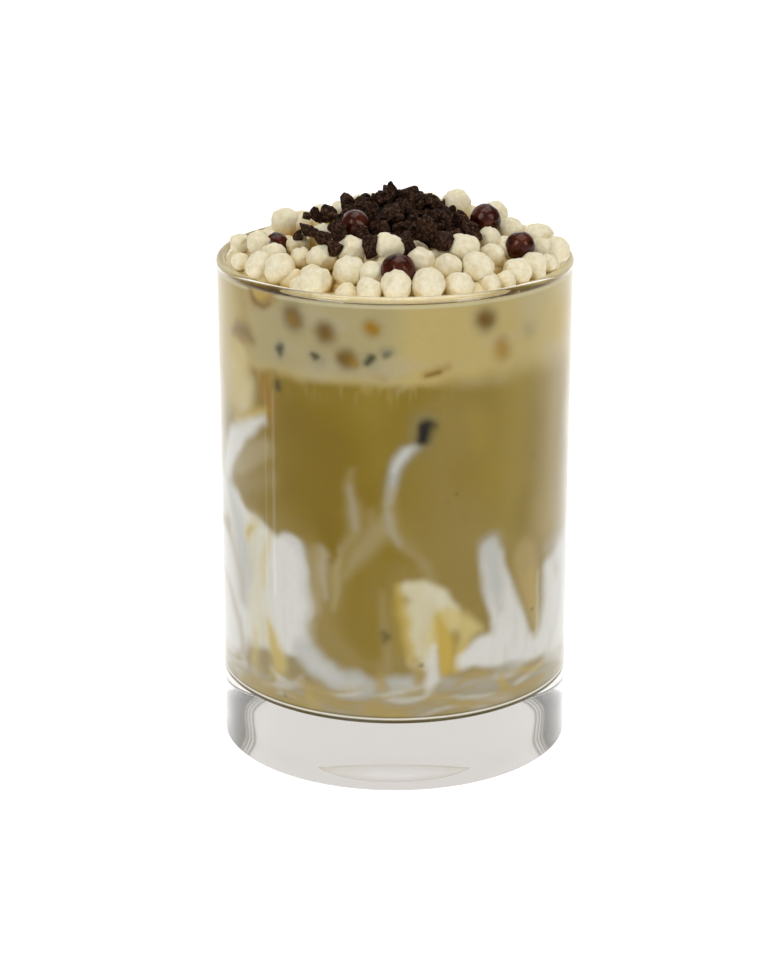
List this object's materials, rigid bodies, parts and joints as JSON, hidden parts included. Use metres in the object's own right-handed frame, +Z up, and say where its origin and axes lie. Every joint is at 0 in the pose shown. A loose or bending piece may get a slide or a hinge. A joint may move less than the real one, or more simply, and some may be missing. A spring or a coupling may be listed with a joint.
{
  "type": "layered shake in a glass tumbler",
  "caption": "Straight heavy-based glass tumbler with a marbled khaki and white shake, a pale cream layer, and a heap of crisp balls, cookie crumbs and dark pearls.",
  "frame": {"origin": "centre of the glass's foot, on the surface it stands on", "axes": "+Z up along the glass's axis; the side that was pictured faces -Y; +X is to its right"},
  "size_m": [0.075, 0.075, 0.1217],
  "materials": {
    "clear_glass": "clear, polished",
    "shake": "khaki drink marbled with white, wet",
    "cream": "pale yellow cream, wet",
    "crisp_balls": "matt, finely grained, cream white",
    "cookie_crumbs": "rough, porous, very dark brown",
    "dark_pearls": "glossy dark red-brown coating"
  },
  "bodies": {
    "root": {"glass": "clear_glass", "shake": "shake", "cream": "cream", "crisp_balls": "crisp_balls", "cookie_crumbs": "cookie_crumbs", "pearl_1": "dark_pearls", "pearl_2": "dark_pearls", "pearl_3": "dark_pearls", "pearl_4": "dark_pearls", "pearl_5": "dark_pearls"}
  },
  "joints": []
}
